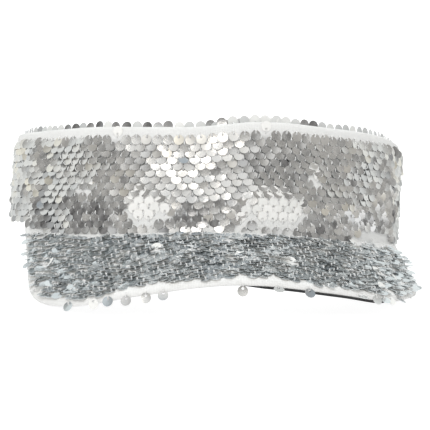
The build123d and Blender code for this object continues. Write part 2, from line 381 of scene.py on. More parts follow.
def line_path(start, end, steps):
    return [(start[0] + (end[0] - start[0]) * n / steps, start[1] + (end[1] - start[1]) * n / steps)
            for n in range(steps + 1)]


def band_sections(profile, start, end, step=1.5, wavy=True):
    """Sections round the band from a profile maker that gives radius and height at an angle."""
    count = max(2, int(ceil(abs(end - start) / step)))
    sections = []
    for n in range(count + 1):
        angle = start + (end - start) * n / count
        sections.append([ring(r + (bulge(angle, z) if wavy else 0), angle, z) for r, z in profile(angle)])
    return sections


# ---------------------------------------------------------------- materials

class Nodes:
    """A node tree and short calls for what is built in it."""

    def __init__(self, tree):
        self.tree = tree

    def plug(self, socket, value):
        if isinstance(value, bpy.types.NodeSocket):
            self.tree.links.new(value, socket)
        else:
            socket.default_value = value

    def node(self, kind, inputs=None, **settings):
        """A new node with its settings, and its inputs plugged or set by name or number."""
        made = self.tree.nodes.new("ShaderNode" + kind)
        for key, value in settings.items():
            setattr(made, key, value)
        for key, value in (inputs or {}).items():
            self.plug(made.inputs[key], value)
        return made

    def maths(self, operation, *values):
        return self.node("Math", dict(enumerate(values)), operation=operation).outputs[0]

    def mix(self, share, a, b):
        return self.node("Mix", {0: share, 6: a, 7: b}, data_type="RGBA").outputs[2]

    def scaled(self, value, low, high):
        """From low to high while the value goes from 0 to 1."""
        return self.node("MapRange", {0: value, 3: low, 4: high}).outputs[0]

    def ease(self, value, low, high):
        """Smooth step that also runs downwards when low is above high."""
        ends = {1: min(low, high), 2: max(low, high), 3: float(low > high), 4: float(low <= high)}
        return self.node("MapRange", {0: value, **ends}, interpolation_type="SMOOTHSTEP").outputs[0]

    def ramp(self, source, stops):
        made = self.node("ValToRGB", {0: source})
        elements = made.color_ramp.elements
        while len(elements) < len(stops):
            elements.new(0.5)
        for element, (place, colour) in zip(elements, stops):
            element.position = place
            element.color = (*colour, 1)
        return made.outputs[0]

    def attribute(self, name):
        return self.node("Attribute", attribute_name=name).outputs["Fac"]

    def cloth(self):
        return self.node("UVMap", uv_map="cloth").outputs[0]

    def noise(self, scale, detail):
        place = self.node("TexCoord").outputs["Object"]
        return self.node("TexNoise", {"Vector": place, "Scale": scale, "Detail": detail}).outputs[0]

    def cells(self, source, scale, randomness):
        inputs = {"Vector": source, "Scale": scale, "Randomness": randomness}
        return self.node("TexVoronoi", inputs).outputs[0]

    def wave(self, source, direction, scale, distortion):
        inputs = {"Vector": source, "Scale": scale, "Distortion": distortion}
        return self.node("TexWave", inputs, bands_direction=direction).outputs[1]


class Shader(Nodes):
    """A Principled material."""

    def __init__(self, name, colour, roughness, **inputs):
        self.material = bpy.data.materials.new(name)
        self.material.use_nodes = True
        super().__init__(self.material.node_tree)
        self.inputs = self.tree.nodes["Principled BSDF"].inputs
        self.inputs["Base Color"].default_value = (*colour, 1)
        self.inputs["Roughness"].default_value = roughness
        for key, value in inputs.items():
            self.inputs[key.replace("_", " ")].default_value = value

    def colour(self, source):
        self.plug(self.inputs["Base Color"], source)

    def bump(self, height, distance, strength):
        inputs = {"Height": height, "Strength": strength, "Distance": distance}
        self.plug(self.inputs["Normal"], self.node("Bump", inputs).outputs[0])


def shade(colour, share, lift=0.0):
    """A colour made darker or lighter by a share, and lifted off black."""
    return tuple(min(1, c * share + lift) for c in colour)


def knit_material():
    """White stretch knit: rows of small loops with a slightly uneven colour, and painted shade under the
    sequins.
    """
    s = Shader("knit", (0.93, 0.93, 0.92), 0.85, Sheen_Weight=0.25, Sheen_Roughness=0.5)
    rows = s.node("VectorMath", {0: s.cloth(), 1: (1.25, 1.7, 1)}, operation="MULTIPLY").outputs[0]
    loops = s.cells(rows, 1.0, 0.25)
    tone = s.maths("MULTIPLY_ADD", s.noise(90.0, 3.0), loops, 0.3)
    pale = s.ramp(tone, [(0.2, (0.75, 0.75, 0.745)), (0.75, (0.88, 0.88, 0.87))])
    # painted shade: the knit's colour is mixed towards near-black where it lies under the sequins
    s.colour(s.mix(s.attribute("covered"), pale, (0.10, 0.11, 0.12, 1)))
    s.bump(loops, 0.00025, 0.7)
    return s.material


def silver_material(name, stops):
    """Metallised film: tone and gloss differ from one sequin to the next."""
    s = Shader(name, (0.8, 0.8, 0.8), 0.3, Metallic=1.0)
    tone = s.attribute("tone")
    s.colour(s.ramp(tone, stops))
    s.plug(s.inputs["Roughness"], s.scaled(tone, 0.16, 0.32))
    s.bump(s.noise(900.0, 2.0), 0.00006, 0.5)
    return s.material


def white_material():
    """The sequins' reverse: matte white film with a soft gloss; its low tones are painted grey, which
    stands for shade.
    """
    s = Shader("sequin_white", (0.9, 0.9, 0.88), 0.45, Coat_Weight=0.2, Coat_Roughness=0.3)
    s.colour(s.ramp(s.attribute("tone"), [(0.0, (0.52, 0.53, 0.53)), (0.35, (0.84, 0.84, 0.82)),
                                          (1.0, (0.94, 0.93, 0.91))]))
    s.bump(s.noise(1200.0, 2.0), 0.00004, 0.4)
    return s.material


def thread_material(name, colour):
    """Twisted sewing thread."""
    s = Shader(name, colour, 0.8, Sheen_Weight=0.3)
    twist = s.wave(s.node("TexCoord").outputs["Object"], "DIAGONAL", 900.0, 1.0)
    s.colour(s.ramp(twist, [(0.2, shade(colour, 0.7)), (0.8, shade(colour, 1.25, 0.01))]))
    s.bump(twist, 0.0001, 0.6)
    return s.material


def weave_material(name, colour, per_mm, depth, sheen=0.2):
    """Plain weave from two crossed rows of yarns."""
    s = Shader(name, colour, 0.9, Sheen_Weight=sheen, Sheen_Roughness=0.4)
    uv = s.cloth()
    both = s.maths("MULTIPLY", s.wave(uv, "X", per_mm, 0.4), s.wave(uv, "Y", per_mm, 0.4))
    tone = s.maths("ADD", both, s.noise(60.0, 4.0))
    s.colour(s.ramp(tone, [(0.25, shade(colour, 0.55)), (1.0, shade(colour, 1.5, 0.006))]))
    s.bump(both, depth, 0.8)
    return s.material


def terry_material(name, colour, scale=1.4, depth=0.0005):
    """Brushed pile: clumped loops over slow patches."""
    s = Shader(name, colour, 0.95, Sheen_Weight=0.5, Sheen_Roughness=0.35)
    mixed = s.maths("ADD", s.cells(s.cloth(), scale, 0.9), s.noise(700.0, 4.0))
    s.colour(s.ramp(mixed, [(0.3, shade(colour, 1.9, 0.008)), (1.1, shade(colour, 0.4))]))
    s.bump(mixed, depth, 0.9)
    return s.material


def webbing_material(name, colour):
    """Ribbed narrow webbing."""
    s = Shader(name, colour, 0.75, Sheen_Weight=0.3)
    uv = s.cloth()
    both = s.maths("MULTIPLY_ADD", s.wave(uv, "X", 0.7, 0.6), s.wave(uv, "Y", 0.35, 0.2), 0.2)
    s.colour(s.ramp(both, [(0.1, shade(colour, 0.5)), (1.0, shade(colour, 1.8, 0.01))]))
    s.bump(both, 0.0003, 0.8)
    return s.material


def sheet_material(name, colour, roughness):
    """Matte sheet stock, faintly mottled."""
    s = Shader(name, colour, roughness)
    mottle = s.noise(150.0, 5.0)
    s.colour(s.ramp(mottle, [(0.3, shade(colour, 0.93)), (0.7, colour)]))
    s.bump(mottle, 0.0001, 0.4)
    return s.material


BLACK = (0.018, 0.018, 0.02)
KNIT_CLOTH = knit_material()
SILVER = silver_material("sequin_silver", [(0.0, (0.42, 0.42, 0.43)), (0.3, (0.75, 0.755, 0.76)),
                                           (0.7, (0.90, 0.89, 0.875)), (1.0, (0.96, 0.92, 0.83))])
# the brim's sequins: the same film painted bluer, a painted reflection of dim bluish surroundings
BRIM_SILVER_PAINTED_BLUE = silver_material("sequin_silver_cool", [(0.0, (0.58, 0.63, 0.67)), (0.4, (0.90, 0.95, 0.98)),
                                                     (1.0, (0.97, 0.98, 0.98))])
WHITE = white_material()
THREAD_WHITE = thread_material("thread_white", (0.85, 0.85, 0.83))
THREAD_BLACK = thread_material("thread_black", (0.05, 0.05, 0.052))
LINING_CLOTH = weave_material("lining_weave", BLACK, 0.9, 0.00012)
TAPE_CLOTH = weave_material("bias_tape", BLACK, 0.6, 0.00015, 0.1)
TERRY = terry_material("sweatband_terry", (0.022, 0.022, 0.024))
LOOP_PILE = terry_material("loop_pile", (0.03, 0.03, 0.032), 2.2, 0.0007)
WEBBING = webbing_material("webbing", (0.02, 0.02, 0.022))
NON_WOVEN = sheet_material("non_woven", (0.85, 0.85, 0.83), 0.9)
FELT = sheet_material("needled_felt", (0.84, 0.84, 0.82), 0.95)
BOARD = sheet_material("brim_board_sheet", (0.86, 0.86, 0.85), 0.5)
HOOKS = sheet_material("moulded_hooks", (0.02, 0.02, 0.02), 0.5)


# ---------------------------------------------------------------- one sequin, threaded

DISC_RINGS = (0.0, 0.6, 1.0)  # shares of the way from the hole to the rim
SILVER_SIDE, WHITE_SIDE, THREAD_PART = 0, 1, 2
LOOP_STEPS = 5
LOOP_SINK = 0.25  # how deep the thread's loop starts in the cloth
LOOP_HEIGHT = 0.8  # of the loop, as a share of its radius
SEQUIN_SHARP = 50.0


def disc_template():
    """Vertices, faces and materials of a cupped sequin: its hole is at the origin, its silver side
    faces +Z and it hangs along -Y."""
    verts = []
    for lift in (0.0, -DISC_THICKNESS):
        for share in DISC_RINGS:
            for n in range(DISC_SIDES):
                a = 2 * pi * n / DISC_SIDES
                inner = Vector((HOLE * sin(a), HOLE * cos(a), 0))
                outer = Vector((DISC * sin(a), DISC * cos(a) - HOLE_OFFSET, 0))
                p = inner.lerp(outer, share)
                rho = hypot(p.x, p.y + HOLE_OFFSET) / DISC
                verts.append((p.x, p.y, CUP * (rho * rho - 0.25) + lift))
    per_side = len(DISC_RINGS) * DISC_SIDES
    last = per_side - DISC_SIDES
    bands = [(SILVER_SIDE, a, a + DISC_SIDES) for a in range(0, last, DISC_SIDES)]
    bands += [(WHITE_SIDE, b + DISC_SIDES, b) for b in range(per_side, per_side + last, DISC_SIDES)]
    bands += [(SILVER_SIDE, per_side, 0), (SILVER_SIDE, last, per_side + last)]
    faces = []
    kinds = []
    for kind, a, b in bands:
        for n in range(DISC_SIDES):
            k = (n + 1) % DISC_SIDES
            faces.append((b + n, b + k, a + k, a + n))
            kinds.append(kind)
    return np.array(verts), faces, kinds


def thread_template():
    """Half ring of thread from the hole over the sequin's near edge."""
    radius = LOOP_SPAN / 2
    rings = []
    for j in range(LOOP_STEPS + 1):
        a = pi * j / LOOP_STEPS
        rise = radius * LOOP_HEIGHT * sin(a) - LOOP_SINK
        centre = Vector((0, radius - radius * cos(a) - LOOP_SINK, rise))
        out = Vector((0, -cos(a), sin(a)))
        turns = [pi / 2 * k for k in range(4)]
        rings.append([centre + Vector((THREAD * cos(b), 0, 0)) + out * (THREAD * sin(b)) for b in turns])
    verts, faces = tube(rings)
    return np.array(verts), faces


DISC_VERTS, DISC_FACES, DISC_KINDS = disc_template()
LOOP_VERTS, LOOP_FACES = thread_template()


def sequin_object(name, placed, body, replaces=(), threads=1.0, silver=SILVER):
    """One object from sequins as hang() gives them; threads is the share with a visible thread."""
    parts, kinds, tones = [], [], []
    for number, (hole, x, y, z, tone, root, up, out) in enumerate(placed):
        parts.append((DISC_VERTS @ np.array((x, y, z)) + np.array(hole), DISC_FACES))
        kinds += DISC_KINDS
        tones += [tone] * len(DISC_VERTS)
        if number * SPREAD % 1 < threads:
            parts.append((LOOP_VERTS @ np.array((x, up, out)) + np.array(root), LOOP_FACES))
            kinds += [THREAD_PART] * len(LOOP_FACES)
            tones += [ODD_TONE] * len(LOOP_VERTS)
    obj = make_object(name, *joined(parts), body, "sequin_silver", replaces)
    mesh = obj.data
    for material in (silver, WHITE, THREAD_WHITE):
        mesh.materials.append(material)
    mesh.polygons.foreach_set("material_index", kinds)
    attribute = mesh.attributes.new("tone", "FLOAT", "POINT")
    attribute.data.foreach_set("value", tones)
    mesh.set_sharp_from_angle(angle=radians(SEQUIN_SHARP))
    return obj


def hang(point, out, down, tilt, yaw, roll, flipped, tone):
    """Places a sequin whose thread comes out of the cloth at a point. Down is the cloth's pile
    direction, tilt lifts the free edge, and a flipped sequin lies the other way round."""
    across = down.cross(out).normalized()
    down = (down - out * down.dot(out)).normalized()
    turn = Matrix.Rotation(yaw, 3, out)
    pile, side = turn @ down, turn @ across
    sense = -1 if flipped else 1
    hole = point - pile * LOOP_SPAN if flipped else point
    lean = Matrix.Rotation(sense * tilt, 3, side)
    along_disc = lean @ (pile * sense)
    normal = (lean @ out) * sense
    rock = Matrix.Rotation(roll, 3, along_disc)
    y = -along_disc
    normal = rock @ normal
    return (hole, y.cross(normal), y, normal, tone, point, -pile, out)


# ---------------------------------------------------------------- sequins of the band

# patches brushed the other way: angle, height from the lower edge, half sizes in degrees and mm
FLIPPED = [(-24.0, 11.5, 6.8, 7.5), (13.0, 10.5, 9.8, 7.0), (-43.5, 22.5, 2.6, 1.6),
           (25.5, 27.0, 2.6, 2.6), (-68.0, 7.0, 1.8, 4.5), (128.0, 15.0, 8.0, 6.0),
           (-122.0, 20.0, 6.0, 5.0)]
STRAY = 0.006  # share of single sequins flipped elsewhere
BARE_HEM = 6.0
OUTER_ROWS = 20
INNER_ROWS = 4
LOWEST_ROOT = 1.2
HEM_CLEARANCE = radians(14)  # least tilt of the lowest sequins, which lean on the brim
# how far the free edges stand off the cloth, in degrees
LIE = 13.0
LIE_LESS_LOW = 8.0
LIE_MORE_AT_ENDS = 15.0
FLAT_LIE = 4.0
INNER_LIE = 9.0
LIFTED_SHARE = 0.03
# how far the sequins are combed outwards towards the ends, in radians
COMB_RIGHT = 0.95
COMB_LEFT = 0.8


def is_flipped(angle, height, rng):
    for centre, level, half_angle, half_height in FLIPPED:
        reach = ((angle - centre) / half_angle) ** 2 + ((height - level) / half_height) ** 2
        if reach < 1 + rng.uniform(-0.15, 0.15):
            return True
    return rng.random() < STRAY


def bare_hem(angle):
    """Height of the strip of cloth left bare above the brim, towards the right."""
    return BARE_HEM * smooth(38, 44, angle) * (1 - smooth(60, 66, angle))


def staggered(start, end, radius, rows):
    """Rows and angles of one staggered grid round the band, between two angles."""
    step = degrees(PITCH / radius)
    for row in range(rows):
        shift = (row % 2) / 2
        first = ceil(min(start, end) / step - shift)
        last = floor(max(start, end) / step - shift - 1e-6)
        for column in range(first, last + 1):
            yield row, (column + shift) * step


def band_sequin_rows(start, end, rng):
    """Sequins on the band's outside between two angles."""
    placed = []
    for row, angle in staggered(start, end, BAND_RADIUS + 0.5, OUTER_ROWS):
        z = top_edge(angle) - BARE_TOP - HOLE_OFFSET - row * ROW
        height = z - low_edge(angle)
        if height < max(LOWEST_ROOT, bare_hem(angle)):
            continue
        z += rng.uniform(-0.18, 0.18)
        angle += degrees(rng.uniform(-0.22, 0.22) / BAND_RADIUS)
        out = ring(1, angle, 0)
        point = ring(BAND_RADIUS + bulge(angle, z) + ROOT_LIFT, angle, z)
        flow = noise.noise(Vector((angle * 0.045, z * 0.05, 11.0)))
        comb = COMB_RIGHT * smooth(42, 53, angle) - COMB_LEFT * smooth(52, 63, -angle)
        ends = smooth(46, 62, abs(angle))
        lie = LIE - LIE_LESS_LOW * (1 - smooth(14, 20, height)) * (1 - ends) + LIE_MORE_AT_ENDS * ends
        wave = noise.noise(Vector((angle * 0.09, z * 0.1, 5.0)))
        tilt = radians(lie + 4 * wave + rng.gauss(0, 3.6))
        if height < 3.4:
            tilt = max(tilt, HEM_CLEARANCE)
        yaw = 0.35 * flow + comb + rng.gauss(0, 0.07 + 0.12 * ends)
        roll = radians(rng.gauss(0, 5.2)) + 0.08 * flow
        flipped = is_flipped(angle, height, rng)
        if flipped:
            tilt = radians(FLAT_LIE + rng.gauss(0, 1.2))
        elif rng.random() < LIFTED_SHARE:
            tilt += radians(rng.uniform(8, 22))
        hem = 1 - smooth(12, 19, height)
        spread = 0.13 + 0.12 * max(hem, ends)
        # painted shade: the tone drops towards the hem, darkening the lower rows
        tone = 0.53 + 0.2 * flow - 0.22 * hem + rng.gauss(0, spread) + 0.5 * flipped
        tone = min(max(tone, 0), 1)
        placed.append(hang(point, out, Vector((0, 0, -1)), tilt, yaw, roll, flipped, tone))
    return placed


def inner_sequin_rows(start, end, rng):
    """Sequins on the turned-down knit inside: their free edges point up, past the top edge."""
    placed = []
    for row, angle in staggered(start, end, TURN_INNER - 0.3, INNER_ROWS):
        z = top_edge(angle) - 0.9 - row * ROW + rng.uniform(-0.3, 0.3)
        crowd = smooth(-7, -4, angle) * (1 - smooth(15, 19, angle))
        z += crowd * min(0.7 + 1.7 * row, 2.4)
        angle += degrees(rng.uniform(-0.3, 0.3) / BAND_RADIUS)
        out = -ring(1, angle, 0)
        point = ring(TURN_INNER + bulge(angle, z) - ROOT_LIFT, angle, z)
        tilt = radians(INNER_LIE + rng.gauss(0, 3.0))
        yaw = rng.gauss(0, 0.12)
        roll = radians(rng.gauss(0, 5.0))
        # painted shade: only low tones, which grey the inner sequins' white sides
        tone = rng.uniform(0, 0.35)
        turned = noise.noise(Vector((angle * 0.11, row * 0.7, 31.0))) > 0.03
        if turned:
            point -= Vector((0, 0, LOOP_SPAN))
        down = Vector((0, 0, -1 if turned else 1))
        placed.append(hang(point, out, down, tilt, yaw, roll, turned, tone))
    return placed


# ---------------------------------------------------------------- sequins of the brim

EDGE_HINGES = [BAND_MATRIX.inverted() @ Vector(joint["pos_m"]) for joint in frame["joints"]
               if joint["name"].startswith("edge_sequin")]
HINGE_ROOM = 5.6
GRID_HALF_WIDTH = 100.0
GRID_REAR = -80.0  # first row and limit of the last, along the brim's fall from its crest
GRID_FRONT = 60.0
COMBED_OUT = 62.0  # turn of the sequins at the brim's two ends, in degrees
BRIM_LIE = 12.0  # how far the free edges stand off the brim, in degrees
BRIM_LIE_LESS_MIDDLE = 5.0
BRIM_LIFTED_SHARE = 0.05
BRIM_STRAY = 0.02


def near_hinge(x, y):
    """True where a sewn-down sequin would be in the way of a loose one at the brim's edge."""
    return any(hypot(x - hinge.x, y - hinge.y) < HINGE_ROOM for hinge in EDGE_HINGES)


def brim_sequin_rows(rng):
    """Sequins on the brim's top, their free edges towards its edge and combed out at its ends."""
    placed = []
    columns = int(GRID_HALF_WIDTH / PITCH) + 1
    for row in range(int((GRID_FRONT - GRID_REAR) / ROW)):
        for column in range(-columns, columns + 1):
            across = (column + (row % 2) / 2) * PITCH
            forward = row * ROW + GRID_REAR
            a = across / BRIM_CURVE
            p = CREST + ACROSS * (BRIM_CURVE * sin(a)) + OUT * (BRIM_CURVE * (cos(a) - 1))
            p += FALL * forward
            x, y = p.x + rng.uniform(-0.5, 0.5), p.y + rng.uniform(-0.5, 0.5)
            margin = 0.4 - smooth(66, 84, abs(x))
            clear = BAND_RADIUS + 1.2 + 3.5 * smooth(-62, -40, y)
            under_band = hypot(x, y) < clear or y > SIDE_END_Y
            if under_band or not inside_brim(x, y, margin) or near_hinge(x, y):
                continue
            normal = brim_normal(x, y)
            point = Vector((x, y, brim_height(x, y, 0))) + normal * ROOT_LIFT
            sideways = 1 if x > 0 else -1
            ends = smooth(38, 86, abs(x)) * radians(COMBED_OUT) * sideways
            flow = noise.noise(Vector((x * 0.045, y * 0.045, 21.0)))
            wild = smooth(70, 88, abs(x))
            heading = ends + 0.3 * flow + rng.gauss(0, 0.1 + 0.25 * wild)
            down = FALL * cos(heading) + ACROSS * sin(heading)
            lie = BRIM_LIE - BRIM_LIE_LESS_MIDDLE * (1 - smooth(25, 65, abs(x)))
            tilt = radians(lie + 5 * flow + rng.gauss(0, 6 + 5 * wild) + 8 * wild)
            if rng.random() < BRIM_LIFTED_SHARE:
                tilt += radians(rng.uniform(8, 25))
            roll = radians(rng.gauss(0, 5.0))
            flipped = rng.random() < BRIM_STRAY
            # painted reflection: low tones darken the brim's sequins, on top of their bluer film
            tone = min(max(0.36 + 0.16 * flow + rng.gauss(0, 0.14), 0), 1)
            placed.append(hang(point, normal, down, tilt, 0.0, roll, flipped, tone))
    return placed


# place along the outline, how far swung up in degrees, and whether the white side shows
FOLD_SEQUINS = [(-81, 25, False), (-68, 8, True), (-61, 20, False), (57.5, 70, False), (66, 35, False),
                (71, 55, False), (75.5, 40, True), (84, 60, False), (93, 75, False)]


def fold_sequins(rng):
    """Sequins that hang off the fold of the brim's edge."""
    placed = []
    for s, swing, white in FOLD_SEQUINS:
        (x, y), (nx, ny) = brim_edge(s, KNIT + 0.35)
        out = Vector((nx, ny, 0))
        point = Vector((x, y, brim_height(x, y, KNIT_BOTTOM * 0.4)))
        down = Vector((0, 0, -1))
        item = hang(point, out, down, radians(swing), rng.gauss(0, 0.15), 0.0, False, rng.random())
        if white:
            hole, across, y_axis, normal, *rest = item
            item = (hole, -across, y_axis, -normal, *rest)
        placed.append(item)
    return placed


# ---------------------------------------------------------------- cloth of the band

def knit_profile(angle):
    """Up the outside, over the top edge, down inside, and back under the cloth."""
    low, top = low_edge(angle), top_edge(angle)
    half = (BAND_RADIUS - TURN_INNER) / 2
    middle = (BAND_RADIUS + TURN_INNER) / 2
    path = line_path((BAND_RADIUS, low), (BAND_RADIUS, top - half), 12)
    path += arc_path(middle, top - half, half, 0, 180, 8)[1:]
    path += line_path((TURN_INNER, top - half), (TURN_INNER, top - TURN_DOWN), 4)[1:]
    path += line_path((LINING_OUTER, top - TURN_DOWN), (LINING_OUTER, top - half), 4)
    path += arc_path(middle, top - half, half - KNIT, 180, 0, 6)[1:]
    path += line_path((STIFFENER_OUTER, top - half), (STIFFENER_OUTER, low), 8)[1:]
    return path


def slab_profile(inner, outer, low, high, steps=8, rounding=0.25):
    """Upright layer between two radii with softened corners; low and high are functions."""
    def profile(angle):
        bottom, top = low(angle), high(angle)
        path = line_path((outer, bottom + rounding), (outer, top - rounding), steps)
        path += [(outer - rounding, top), (inner + rounding, top)]
        path += line_path((inner, top - rounding), (inner, bottom + rounding), steps)
        path += [(inner + rounding, bottom), (outer - rounding, bottom)]
        return path
    return profile


def band_layers():
    """Every cloth layer: its name, profile, material and slot, and the CAD node in front."""
    lining = slab_profile(SWEATBAND_OUTER, LINING_OUTER, low_edge, lambda a: top_edge(a) - TURN_DOWN,
                          6, 0.1)
    sweatband = slab_profile(SWEATBAND_INNER, SWEATBAND_OUTER, lambda a: SWEATBAND_LOW,
                             lambda a: SWEATBAND_TOP, 6, 0.6)
    return [("knit_fabric", knit_profile, KNIT_CLOTH, "knit_white", "band_knit_fabric"),
            ("lining", lining, LINING_CLOTH, "lining_black", "band_lining"),
            ("sweatband", sweatband, TERRY, "sweatband_black", "front_sweatband")]


def bend_side(obj):
    """Bakes a side piece's placement into its mesh; the piece rides on no body."""
    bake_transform(obj)


SHADE = 0.62  # depth of the painted shade on the knit under the sequins in front, where they lie close


def band_painted_shade(p):
    """Painted shade on the knit under the sequins, deeper towards the ends: none on the bare strips and
    round the flipped patches.
    """
    angle = degrees(atan2(p.x, -p.y))
    outer = smooth(BAND_RADIUS - 0.9, BAND_RADIUS - 0.6, hypot(p.x, p.y))
    hem = smooth(BARE_TOP + 1.5, BARE_TOP + 4.0, top_edge(angle) - p.z)
    height = p.z - low_edge(angle)
    if not LOOP_END + 1 < angle < TAB_ROOT_START - 1:
        return 0.0
    for centre, level, half_angle, half_height in FLIPPED:
        if hypot((angle - centre) / (half_angle + 2.5), (height - level) / (half_height + 5)) < 1:
            return 0.0
    deep = SHADE + (1 - SHADE) * smooth(50, 64, abs(angle))
    return deep * outer * hem * smooth(0.2, 1.2, height - bare_hem(angle))


def brim_painted_shade(p):
    # faint painted shade on the knit of the brim's top, inside its outline
    top = 0.05 * smooth(-0.6, -0.2, p.z - brim_height(p.x, p.y, 0))
    return top if inside_brim(p.x, p.y, 1.6) else 0.0


def build_band_cloth():
    for layer, profile, material, slot, node in band_layers():
        covered = band_painted_shade if layer == "knit_fabric" else None
        sections = band_sections(profile, -SIDE_START, SIDE_START)
        sweep("front_" + layer + "_cloth", sections, "cap", slot, material, (node,), covered)
        for side, (sign, end) in SIDES.items():
            sections = band_sections(profile, sign * SIDE_START, end)
            obj = sweep(f"{side}_{layer}_cloth", sections, None, slot, material, (f"{side}_{layer}",),
                        covered)
            bend_side(obj)


def build_band_core():
    """Stiffener and padding, sealed between knit and lining."""
    core = slab_profile(LINING_OUTER, STIFFENER_OUTER, low_edge, lambda a: top_edge(a) - KNIT - 0.6)
    sections = band_sections(core, -HINGE_ANGLE, HINGE_ANGLE)
    sweep("front_stiffener_sheet", sections, "cap", "stiffener_white", NON_WOVEN, ("band_stiffener",))
    for side, (sign, end) in SIDES.items():
        sections = band_sections(core, sign * (HINGE_ANGLE + 0.3), end - sign * 0.4)
        sweep(side + "_padding_felt", sections, side + "_wing", "padding_white", FELT,
              (side + "_padding",))


END_MARGIN = 1.6  # degrees between the last sequins and the ends of their cloth


def build_band_sequins():
    sequin_object("front_sequins", band_sequin_rows(-SIDE_START, SIDE_START, Random(4)), "cap",
                  ("band_outer_sequins",))
    sequin_object("front_inner_sequins", inner_sequin_rows(-SIDE_START, SIDE_START, Random(5)), "cap",
                  ("band_inner_sequins",))
    stops = {"left": LOOP_END, "right": TAB_ROOT_START}
    for seed, (side, (sign, end)) in zip((6, 7), SIDES.items()):
        outer = band_sequin_rows(sign * SIDE_START, stops[side] - sign * END_MARGIN, Random(seed))
        bend_side(sequin_object(side + "_sequins", outer, None, (side + "_outer_sequins",)))
        inner = inner_sequin_rows(sign * SIDE_START, end - sign * END_MARGIN, Random(seed + 4))
        bend_side(sequin_object(side + "_inner_sequins_loose", inner, None,
                                (side + "_inner_sequins",)))


# ---------------------------------------------------------------- cloth of the brim

ROOT_END = 76.0  # angle at which the brim's root meets its side edges
BRIM_STEPS = 150


def brim_root(s):
    """Point under the band that the outline's point at s is joined to."""
    p = ring(SWEATBAND_OUTER, ROOT_END * s / HALF_EDGE, 0)
    return p.x, p.y


def brim_section(s, path):
    """Section through the brim at s: a path of (share from root to edge, outward, rise)."""
    (ex, ey), (nx, ny) = brim_edge(s)
    rx, ry = brim_root(s)
    section = []
    for share, outward, rise in path:
        x = rx + (ex - rx) * share + nx * outward
        y = ry + (ey - ry) * share + ny * outward
        section.append(Vector((x, y, brim_height(x, y, rise))))
    return section


def brim_solid(name, path, slot, material, replaces, covered=None):
    """Sweep round the brim's outline; the path may be a function of the place on the outline."""
    sections = []
    for n in range(BRIM_STEPS + 1):
        s = HALF_EDGE * (2 * n / BRIM_STEPS - 1)
        sections.append(brim_section(s, path(s) if callable(path) else path))
    return sweep(name, sections, "cap", slot, material, replaces, covered)


def turned_under(s):
    """Width of the knit folded back under the edge: less near the root, where the band stands."""
    (x, y), _ = brim_edge(s)
    if abs(s) < ARC_FRONT + ARC_CORNER:
        return TURN_UNDER
    return min(TURN_UNDER, max(abs(x) - sqrt(LINING_OUTER**2 - y * y), 1.0))


def knit_path(s):
    """Over the brim's top, round its edge, back under it, and home inside the knit."""
    turned = turned_under(s)
    top = [(n / 16, -1.2 * n / 16, 0.0) for n in range(17)]
    middle = KNIT_BOTTOM / 2
    half = -middle
    turns = [90 - 180 * n / 8 for n in range(9)]
    edge = [(1, KNIT - half + half * cos(radians(a)), middle + half * sin(radians(a))) for a in turns]
    under = [(1, -turned * n, KNIT_BOTTOM) for n in (0.25, 0.5, 1)]
    back = [(1, -turned * n, BOARD_BOTTOM) for n in (1, 0.5, 0.25)]
    thin = half - KNIT
    inner = [(1, KNIT - half + thin * cos(radians(a)), middle + thin * sin(radians(a)))
             for a in reversed(turns[1:-1])]
    home = [(1 - n / 16, -1.2 * (1 - n / 16), BOARD_TOP) for n in range(17)]
    return top + edge + under + back + inner + home


def build_brim_cloth():
    brim_solid("brim_knit_cloth", knit_path, "knit_white", KNIT_CLOTH, ("brim_knit_fabric",),
               brim_painted_shade)
    slab = [(n / 12, -1.4 * n / 12, BOARD_TOP - 0.05) for n in range(13)]
    slab += [(1 - n / 12, -1.4 * (1 - n / 12), BOARD_BOTTOM + 0.05) for n in range(13)]
    brim_solid("brim_board_sheet", slab, "board_white", BOARD, ("brim_board",))
    brim_solid("brim_lining_cloth", lining_path, "lining_black", LINING_CLOTH, ("brim_lining",))


def lining_path(s):
    """The lining reaches the edge only right of the middle, where a thin line of it shows."""
    reach = 0.6 - 2.8 * (1 - smooth(-4, 12, s) * (1 - smooth(66, 82, s)))
    path = [(n / 14, reach * n / 14, KNIT_BOTTOM - 0.02) for n in range(15)]
    path += [(1, reach + 0.1, (KNIT_BOTTOM + BRIM_BOTTOM) / 2)]
    path += [(1 - n / 14, reach * (1 - n / 14), BRIM_BOTTOM) for n in range(15)]
    return path


def tape_low(angle):
    """The tape reaches below the brim wherever the brim runs under the band."""
    p = ring(SWEATBAND_OUTER, angle, 0)
    return (1 - smooth(77, 86, abs(angle))) * (brim_height(p.x, p.y, BRIM_BOTTOM) - 0.2)


def build_seam_tape():
    profile = slab_profile(SWEATBAND_OUTER - 0.6, SWEATBAND_OUTER, tape_low,
                           lambda a: max(SWEATBAND_LOW - 0.3, low_edge(a) + 1.5), 3, 0.1)
    sections = band_sections(profile, -(HINGE_ANGLE - TURN_UNDER), HINGE_ANGLE - TURN_UNDER)
    sweep("seam_tape_cloth", sections, "cap", "tape_black", TAPE_CLOTH, ("brim_seam_tape",))


# ---------------------------------------------------------------- rear closure and stitches

STITCH_RADIUS = 0.22
STITCH_SIDES = 6
STITCH_STEPS = 6
STITCH_RISE = 2.0  # of the sweatband's stitches above its lower edge
PATCH_INSET = 1.4
CROSS_COUNT = 7
RING_STITCH = 3.0  # length and spacing of the sweatband's stitches, then of the others
RING_PITCH = 4.2
BOX_STITCH = 2.4
BOX_PITCH = 3.4


def closure_piece(name, inner, outer, start, end, low, high, body, slot, material, replaces):
    profile = slab_profile(inner, outer, lambda a: low, lambda a: high, 6, 0.35)
    sections = band_sections(profile, start, end, 1.0, wavy=False)
    sweep(name, sections, body, slot, material, replaces)


